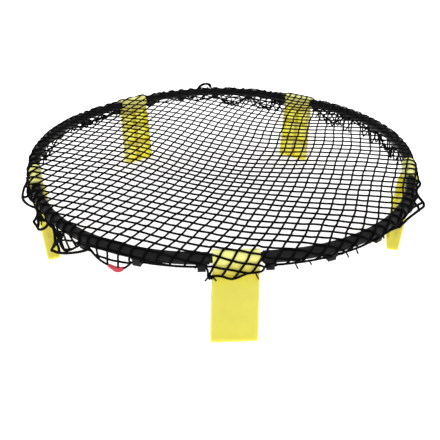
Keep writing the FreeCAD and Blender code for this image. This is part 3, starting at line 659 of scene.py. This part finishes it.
class Rim:
    """How the net goes over the rim and down to its edge cord."""

    # how the net lifts towards the rim, eases from tube to sleeve, hangs free where its edge is
    # low, and how much longer than a straight line it hangs
    LIFT_OVER = 0.02
    EASE_BACK = 0.001
    EASE_OVER = 0.008
    FREE_FROM = 0.018
    FREE_OVER = 0.012
    SLACK = 1.05
    # room on each side of a hook's middle, and how soon the net makes it on its way down
    HOOK_ROOM = 0.0095
    HOOK_SOON = 1.6

    def __init__(self, line):
        rows = []
        for point in line:
            angle = math.atan2(point.y - RING_Y, point.x)
            rows.append((angle, math.hypot(point.x, point.y - RING_Y), point.z - AXIS_Z))
        rows.sort()
        rows = [(rows[-1][0] - 2 * math.pi, *rows[-1][1:])] + rows \
            + [(rows[0][0] + 2 * math.pi, *rows[0][1:])]
        self.rows = rows
        self.angles = [row[0] for row in rows]

    def edge(self, angle):
        """The edge cord's radius and its height over the ring's line."""
        angle = math.remainder(angle, 2 * math.pi)
        index = bisect.bisect_left(self.angles, angle)
        index = min(max(index, 1), len(self.rows) - 1)
        (a0, r0, z0), (a1, r1, z1) = self.rows[index - 1], self.rows[index]
        share = 0.0 if a1 == a0 else (angle - a0) / (a1 - a0)
        return mix(r0, r1, share), mix(z0, z1, share)

    def bar(self, angle):
        """Centre-line radius and the bar's own radius under the net."""
        radius, along = ring_at(angle)
        share = 1 - smooth((along - SLEEVE_HALF + self.EASE_BACK) / self.EASE_OVER)
        return radius, mix(TUBE_R, SLEEVE_R, share) + CLEAR + CORD_R

    def reach(self, angle):
        """Length of net from the crest of the rim to the edge cord."""
        radius, bar = self.bar(angle)
        out, up = self.edge(angle)
        return bar * math.pi / 2 + math.hypot(out - radius - bar, up) * self.SLACK

    def place(self, x, y):
        """Where a point of the flat net lies, over the ring and down its outer side."""
        angle = math.atan2(y, x)
        flat = math.hypot(x, y)
        radius, bar = self.bar(angle)
        past = flat - radius
        if past <= 0:
            rise = (bar - (NET_Z - AXIS_Z)) * math.exp(-(past / self.LIFT_OVER) ** 2)
            return Vector((x, y + RING_Y, NET_Z + rise))
        turn = past / bar
        if turn <= math.pi / 2:
            out, up = radius + bar * math.sin(turn), bar * math.cos(turn)
        else:
            share = min(1.0, (past - bar * math.pi / 2)
                        / max(TINY, self.reach(angle) - bar * math.pi / 2))
            angle = self.part(angle, share)
            end_out, end_up = self.edge(angle)
            radius, bar = self.bar(angle)
            end = (end_out - radius, end_up)
            swing = math.atan2(end[1], end[0]) * share
            size = mix(bar, math.hypot(*end), share)
            curved = (size * math.cos(swing), size * math.sin(swing))
            hung = (mix(bar, end[0], share), end[1] * share)
            free = smooth((-end_up - self.FREE_FROM) / self.FREE_OVER)
            out = radius + mix(curved[0], hung[0], free)
            up = mix(curved[1], hung[1], free)
        d = direction(angle)
        return Vector((d.x * out, d.y * out + RING_Y, AXIS_Z + up))

    def part(self, angle, share):
        """Move a hanging point aside where a hook would be in its way."""
        for number in range(1, LEGS + 1):
            off = math.remainder(angle - tube_angle(number), 2 * math.pi)
            if abs(off) > TURN / 2:
                continue
            bend = self.bend_angle(off)
            for hook in hook_angles():
                away = (bend - hook) * BEND
                if abs(away) < self.HOOK_ROOM:
                    moved = mix(abs(away), self.HOOK_ROOM, smooth(share * self.HOOK_SOON))
                    bend = hook + math.copysign(moved, away) / BEND
                    return tube_angle(number) + self.ring_angle(bend)
        return angle

    @staticmethod
    def bend_angle(off):
        """Angle about a tube's bend for an angle about the ring's middle."""
        radius = BEND_REACH * math.cos(off) \
            + math.sqrt(BEND ** 2 - (BEND_REACH * math.sin(off)) ** 2)
        return math.atan2(radius * math.sin(off), radius * math.cos(off) - BEND_REACH)

    @staticmethod
    def ring_angle(bend):
        """Angle about the ring's middle, from a tube's own, for an angle about its bend."""
        return math.atan2(BEND * math.sin(bend), BEND_REACH + BEND * math.cos(bend))


# steps in which a loose cord is smoothed from one point to the next
LOOP_STEPS = 6
FRILL_STEPS = 5
TAIL_STEPS = 4
# slack loops, read as degrees round the ring, mm out from its line, mm above it
LOOP_R = 0.0028
LOOPS = [
    [(-164, 18, -2), (-163, 20, -10), (-160.5, 28, -15), (-156, 32, -17), (-152.5, 25, -18),
     (-149.5, 12, -18)],
    [(-162.5, 18, -2), (-161, 17, -9), (-158, 21, -14), (-154, 17, -15), (-151.5, 12, -12)],
    [(-161.6, 24, -13), (-160, 19, -12), (-158.5, 17, -8)],
    [(-156.5, 32, -17), (-155.8, 24, -15), (-155.5, 13, -8)],
    [(-18.2, 17, -6), (-19.9, 18, -8), (-22.9, 23, -10), (-25.9, 15, -11), (-28.7, 8, -13)],
    [(-27.2, 12, -9), (-27.2, 20, -22), (-29.5, 34, -30), (-33.3, 24, -30), (-37.9, 13, -30),
     (-41.7, 9, -29), (-44.5, 7, -26), (-47.7, 3, -22), (-51, 0, -18), (-53.5, 0, -14)],
    [(-29.4, 4, -14), (-30.5, 13, -24), (-31.3, 23, -30), (-33.2, 26, -30)],
    [(-27.8, 18, -22), (-31.6, 11, -22), (-35.3, 5, -18)],
    [(-29.1, 29, -28), (-33.1, 15, -24), (-37.4, 8, -20)],
    [(-42.3, 2, -14), (-42.3, 7, -22), (-43.2, 7, -26), (-46, 3, -22), (-48, 1, -15)],
    [(-44.2, 2, -14), (-44.7, 5, -19), (-44.4, 9, -26), (-42.3, 9, -27)],
    [(97, 5, 12), (96.2, 8, 18), (94.9, 10, 23), (93.2, 10, 24), (92, 8, 21), (91.6, 8, 11)],
    [(96.4, 7, 12), (95.7, 9, 17), (94.6, 11, 21), (93.4, 11, 22), (92.4, 9, 19), (92, 9, 11)],
    [(-136.4, 12, -9), (-135.6, 14, -15), (-135.4, 16, -25), (-136, 16, -39), (-137.7, 17, -58),
     (-138.8, 18, -70), (-137.6, 17, -67), (-136.3, 16, -65), (-132.9, 15, -53), (-130.3, 14, -43),
     (-127.1, 14, -29), (-125, 14, -19), (-123.7, 13, -12)],
    [(-133.2, 12, -8), (-133.7, 15, -21), (-135.3, 17, -38), (-137, 18, -54)],
    [(-132.3, 12, -8), (-132.9, 14, -19), (-135, 16, -37), (-134.7, 16, -45), (-135.1, 15, -59)],
    [(-146.5, 12, -8), (-144.5, 16, -9), (-145.2, 20, -21), (-146.6, 24, -34), (-144.9, 23, -36),
     (-143.7, 22, -40), (-141.6, 19, -31), (-140.1, 16, -22), (-139.4, 12, -14)],
    [(-145.7, 12, -8), (-143.3, 15, -8), (-143.7, 19, -17), (-143.3, 21, -26), (-144.5, 22, -40)],
    [(-142.1, 13, -7), (-142.6, 17, -16), (-143.5, 17, -12), (-143, 13, -6)],
]
# zigzags of slack cells that hang from the edge: first and last degree, depth in mm, and how
# the two layers of each stray in degree, in depth, in height and outward
FRILLS = [(88, 61, 52), (46, 30, 60), (26, 1, 60), (141, 150, 44), (155, 128, 32), (171, 176, 56)]
FRILL_STEP = 2.2
FRILL_STRAY = 0.7
FRILL_DEPTHS = (0.72, 1.05)
FRILL_HEIGHTS = (0.75, 1.0)
FRILL_OUT = (-2, 3.5)
# cut tails at the edge: degree and length in mm
TAIL_R = 0.0014
TAIL_LEANS = (0.3, 0.8)
TAILS = [(-77.2, 11), (-74.0, 7), (-64.6, 12), (-62.0, 11), (-52.0, 9), (-38.0, 9), (-86.0, 12),
         (-141, 9), (-96.5, 8), (-95.0, 7), (-145, 8), (-13, 8), (35, 9), (60, 8), (122, 9),
         (148, 8), (166, 9), (-172, 8), (80, 9), (12, 9)]
# gathered hem behind the back tubes: first and last degree and how many strands lie there, the
# height of the highest and the lowest in mm, and how they stray in degree, height and outward
GATHERS = [(-17, 47, 4), (61, 119, 3), (133, 197, 3)]
GATHER_STEP = 1.6
GATHER_HIGH = -5
GATHER_LOW = -24
GATHER_STRAY = 0.5
GATHER_RISE = 5
GATHER_OUT = (13.5, 17)


def ring_place(degrees, out, up):
    """Point given round the ring in degrees, and in mm out from its line and above it."""
    angle = math.radians(degrees)
    radius = ring_at(angle)[0] + out / 1000
    return Vector((radius * math.cos(angle), radius * math.sin(angle) + RING_Y,
                   AXIS_Z + up / 1000))


def rounded(points, steps):
    """Smooth run of points through the given ones."""
    ends = [points[0]] + points + [points[-1]]
    path = []
    for a, b, c, d in zip(ends, ends[1:], ends[2:], ends[3:]):
        for step in range(steps):
            t = step / steps
            path.append(0.5 * (2 * b + (c - a) * t + (2 * a - 5 * b + 4 * c - d) * t ** 2
                               + (3 * b - a - 3 * c + d) * t ** 3))
    return path + [points[-1]]


def knotted_cord(tubes, points, radius, steps):
    """Smooth cord with a knot at each point but its ends."""
    path = rounded(points, steps)
    tubes.cord(path, radius)
    for index in range(1, len(points) - 1):
        here = path[index * steps]
        along = (path[index * steps + 1] - here).normalized()
        tubes.lump(here, along, along.orthogonal().normalized(), LOOSE_KNOT_SIZES)


def edge_mm(rim, degrees):
    """How far the edge cord lies out from the ring's line and above it, in mm."""
    angle = math.radians(degrees)
    out, up = rim.edge(angle)
    return (out - ring_at(angle)[0]) * 1000, up * 1000


def loose_cords(tubes, rim):
    """Slack loops, hanging zigzags, gathered hem and cut tails at the net's border."""
    for spots in LOOPS:
        knotted_cord(tubes, [ring_place(*spot) for spot in spots], LOOP_R, LOOP_STEPS)
    for start, end, depth in FRILLS:
        count = max(3, round(abs(end - start) / FRILL_STEP))
        for layer in range(2):
            spots = []
            for step in range(count + 1):
                degrees = mix(start, end, step / count)
                degrees += random.uniform(-FRILL_STRAY, FRILL_STRAY)
                out, up = edge_mm(rim, degrees)
                low = -depth * random.uniform(*FRILL_DEPTHS)
                high = up * random.uniform(*FRILL_HEIGHTS)
                swing = step % 2 == layer
                spots.append(ring_place(degrees, out + random.uniform(*FRILL_OUT),
                                        min(low, high) if swing else high))
            knotted_cord(tubes, spots, CORD_R, FRILL_STEPS)
    for start, end, strands in GATHERS:
        for strand in range(strands):
            spots = []
            level = mix(GATHER_HIGH, GATHER_LOW, strand / (strands - 1))
            for step in range(round((end - start) / GATHER_STEP) + 1):
                degrees = start + step * GATHER_STEP
                degrees += random.uniform(-GATHER_STRAY, GATHER_STRAY)
                spots.append(ring_place(degrees, random.uniform(*GATHER_OUT),
                                        level + random.uniform(-GATHER_RISE, GATHER_RISE)))
            tubes.cord(rounded(spots, TAIL_STEPS), CORD_R)
    for degrees, length in TAILS:
        out, up = edge_mm(rim, degrees)
        lean = random.uniform(*TAIL_LEANS)
        spots = [(degrees, out, up), (degrees + lean * 0.5, out + 2, up - length * 0.5),
                 (degrees + lean, out + 3, up - length)]
        tubes.cord(rounded([ring_place(*spot) for spot in spots], TAIL_STEPS), TAIL_R)


def knotted_net(rim, material):
    """The whole net: cords that cross at knots, over the rim and down to the edge cord."""
    random.seed(SEED)
    noise.seed_set(SEED)
    tubes = Tubes()
    knots = {}
    for key, (x, y) in crossings().items():
        wave = noise.noise_vector(Vector((x * WANDER_SCALE, y * WANDER_SCALE, WANDER_SLICE)))
        small = (random.uniform(-1, 1), random.uniform(-1, 1))
        knots[key] = (x + wave.x * WANDER + small[0] * STRAY,
                      y + wave.y * WANDER + small[1] * STRAY)

    def past_edge(spot):
        """How far a point of the flat net lies beyond the edge cord: below 0 inside it."""
        angle = math.atan2(spot[1], spot[0])
        return math.hypot(*spot) - ring_at(angle)[0] - rim.reach(angle)

    def cut_at_edge(ends):
        """The end of a cord that lies inside the edge, and the point where it meets the edge."""
        inside, outside = sorted(ends, key=past_edge)
        low, high = 0.0, 1.0
        for _ in range(CUT_ROUNDS):
            middle = (low + high) / 2
            point = (mix(inside[0], outside[0], middle), mix(inside[1], outside[1], middle))
            if past_edge(point) > 0:
                high = middle
            else:
                low = middle
        return [inside, point]

    lumps = set()
    for (row, column), spot in knots.items():
        for other in ((row + 1, column), (row, column + 1)):
            if other not in knots:
                continue
            ends = [spot, knots[other]]
            beyond = [past_edge(end) for end in ends]
            if min(beyond) > 0:
                continue
            if max(beyond) > 0:
                ends = cut_at_edge(ends)
            length = math.dist(*ends)
            near_rim = max(math.hypot(*end) for end in ends) > RIM_FROM
            steps = max(2, math.ceil(length / (RIM_STEP if near_rim else FLAT_STEP)))
            side = (-(ends[1][1] - ends[0][1]) / max(length, TINY),
                    (ends[1][0] - ends[0][0]) / max(length, TINY))
            bow = random.uniform(-BOW, BOW)
            dip = random.uniform(0, DIP)
            path = []
            for step in range(steps + 1):
                share = step / steps
                swell = math.sin(math.pi * share)
                x = mix(ends[0][0], ends[1][0], share) + side[0] * bow * swell
                y = mix(ends[0][1], ends[1][1], share) + side[1] * bow * swell
                point = rim.place(x, y)
                point.z -= dip * swell
                path.append(point)
            tubes.cord(path, CORD_R)
            if beyond[0] <= 0:
                lumps.add((row, column))
            if beyond[1] <= 0:
                lumps.add(other)
    for row, column in sorted(lumps):
        x, y = knots[row, column]
        middle = rim.place(x, y)
        ahead = (rim.place(x + PROBE, y) - middle).normalized()
        aside = (rim.place(x, y + PROBE) - middle).normalized()
        normal = ahead.cross(aside).normalized()
        along = Matrix.Rotation(random.uniform(0, math.pi), 3, normal) @ ahead
        across = normal.cross(along).normalized()
        tubes.lump(middle, along, across, KNOT_SIZES)
    loose_cords(tubes, rim)
    return tubes.build("knotted_net", material)


# knot and tag

UP = Vector((0, 0, 1))
# the knot: how far it lies along the rope's first run and out from it, half of the gap between
# the rope's ends, and its body's sizes
KNOT_DISTANCE = 0.003
KNOT_OUT = 0.0018
KNOT_HALF = 0.0055
KNOT_BODY = (0.0055, 0.0030, 0.0030)
# its wraps round that body: how many, half of their width, the radius of their bend and its
# swell in the middle, and the strand's own radius
KNOT_WRAPS = 2.5
WRAP_HALF = 0.0046
WRAP_BEND = 0.0026
WRAP_SWELL = 0.0007
WRAP_R = 0.0016
WRAP_STEPS = 44
WRAP_SIDES = 8
# its two cut ends: how far out they start, which way each goes along the rope, and its run from
# there in metres along the rope, outward and down
END_R = 0.0015
END_OUT = 0.001
ENDS = [(-1, [(0, 0, 0), (0.003, 0.003, 0.002), (0.005, 0.004, 0.003)]),
        (1, [(0, 0, 0), (0.003, 0.003, 0.002), (0.005, 0.004, 0.005)])]


def tied_knot(middle, along, material):
    """Lump where the edge rope's ends are tied: wraps round the rope and two cut ends."""
    tubes = Tubes()
    across = along.cross(UP).normalized()
    upward = across.cross(along)
    middle = middle + across * KNOT_OUT
    wraps = []
    for step in range(WRAP_STEPS + 1):
        share = step / WRAP_STEPS
        turn = 2 * math.pi * KNOT_WRAPS * share
        bend = WRAP_BEND + WRAP_SWELL * math.sin(math.pi * share)
        wraps.append(middle + along * mix(-WRAP_HALF, WRAP_HALF, share)
                     + (across * math.cos(turn) + upward * math.sin(turn)) * bend)
    tubes.cord(wraps, WRAP_R, WRAP_SIDES)
    for side, run in ENDS:
        start = middle + along * (WRAP_HALF * side) + across * END_OUT
        tubes.cord([start + along * (x * side) + across * y - upward * z for x, y, z in run],
                   END_R, WRAP_SIDES)
    tubes.lump(middle, along, across, KNOT_BODY, rings=6, sides=10)
    return tubes.build("rope_knot", material)


# the tag: its first and last degree round the ring, its depth, the share of it at its ends and
# how full it is between them, and how far it leans out at its left and right end
TAG_FROM = -119.1
TAG_TO = -114.7
TAG_DEPTH = 0.0072
TAG_ENDS = 0.16
TAG_FULL = 0.6
TAG_LEANS = (0.15, 0.75)
# the strip when flat, its cloth, half of the gap between its leaves at the rope and below it,
# how soon they close, and the steps in which a leaf, the fold and the run along the rope go
TAG_CLOTH = 0.0007
TAG_BORE = 0.0024
TAG_GAP = 0.0006
TAG_CLOSE = 0.006
TAG_LEAF = 7
TAG_FOLD = 6
TAG_RUN = 4


def folded_tag(line, material):
    """Woven strip folded over the edge rope, its two leaves hanging side by side."""
    held = [p for p in line if TAG_FROM <= math.degrees(math.atan2(p.y - RING_Y, p.x)) <= TAG_TO]
    spots = rounded(held, TAG_RUN)
    columns = len(spots)
    verts, faces, uvs = [], [], []
    for index, spot in enumerate(spots):
        share = index / (columns - 1)
        ahead = (spots[min(index + 1, columns - 1)] - spots[max(index - 1, 0)]).normalized()
        outward = ahead.cross(UP).normalized()
        if outward.dot(direction(math.atan2(spot.y - RING_Y, spot.x))) < 0:
            outward = -outward
        hang = (outward * mix(*TAG_LEANS, smooth(share)) - UP).normalized()
        away = (outward - hang * outward.dot(hang)).normalized()
        depth = TAG_DEPTH * mix(TAG_ENDS, 1, math.sin(math.pi * share) ** TAG_FULL)
        drops = [depth * step / TAG_LEAF for step in range(TAG_LEAF + 1)]
        profile = [(mix(TAG_BORE, TAG_GAP, smooth(drop / TAG_CLOSE)), drop) for drop in drops]
        turns = [math.pi * step / TAG_FOLD for step in range(1, TAG_FOLD)]
        over = [(-TAG_BORE * math.cos(turn), -TAG_BORE * math.sin(turn)) for turn in turns]
        around = [(-gap, drop) for gap, drop in profile[::-1]] + over + profile
        verts += [spot + away * x + hang * y for x, y in around]
    rows = len(verts) // columns
    for column in range(columns - 1):
        for row in range(rows - 1):
            a = column * rows + row
            faces.append((a, a + 1, a + rows + 1, a + rows))
            u, w = column / (columns - 1), (column + 1) / (columns - 1)
            s, t = row / (rows - 1), (row + 1) / (rows - 1)
            uvs.append(((u, s), (u, t), (w, t), (w, s)))
    piece = mesh_piece("red_tag", verts, faces, uvs, "weave", material)
    thick = piece.modifiers.new("cloth", "SOLIDIFY")
    thick.thickness = TAG_CLOTH
    thick.offset = 1
    return piece


# build

DEEP_BLACK = (0.0008, 0.0008, 0.0008)


def main():
    camera()
    studio()
    black = cord_fibre("cord_black", DEEP_BLACK, (0.007, 0.007, 0.0074), turns=260, strands=2)
    net_black = cord_fibre("net_black", DEEP_BLACK, (0.006, 0.006, 0.0064), turns=420, strands=2)
    route = cord_route()
    along = (route[1] - route[0]).normalized()
    knot = route[0] + along * KNOT_DISTANCE
    path = [knot + along * KNOT_HALF] + route[1:] + [route[0], knot - along * KNOT_HALF]
    edge = nurbs("edge_rope", path, EDGE_R, black)
    line = spline_points(edge)
    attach(edge, "rim")
    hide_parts("edge_cord")

    lump = tied_knot(knot, along, black)
    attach(lump, "rim")
    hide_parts("cord_knot")
    tag = folded_tag(line, tag_cloth())
    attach(tag, "rim")
    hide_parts("marker_tag")

    net = knotted_net(Rim(line), net_black)
    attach(net, "rim")
    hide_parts("net_bed", *each("net_skirt"), *each("net_lap"))

    for names, material in ((each("leg"), leg_plastic()), (each("rim_tube"), tube_plastic())):
        for name in names:
            for slot in bpy.data.objects[name].material_slots:
                slot.material = material


main()
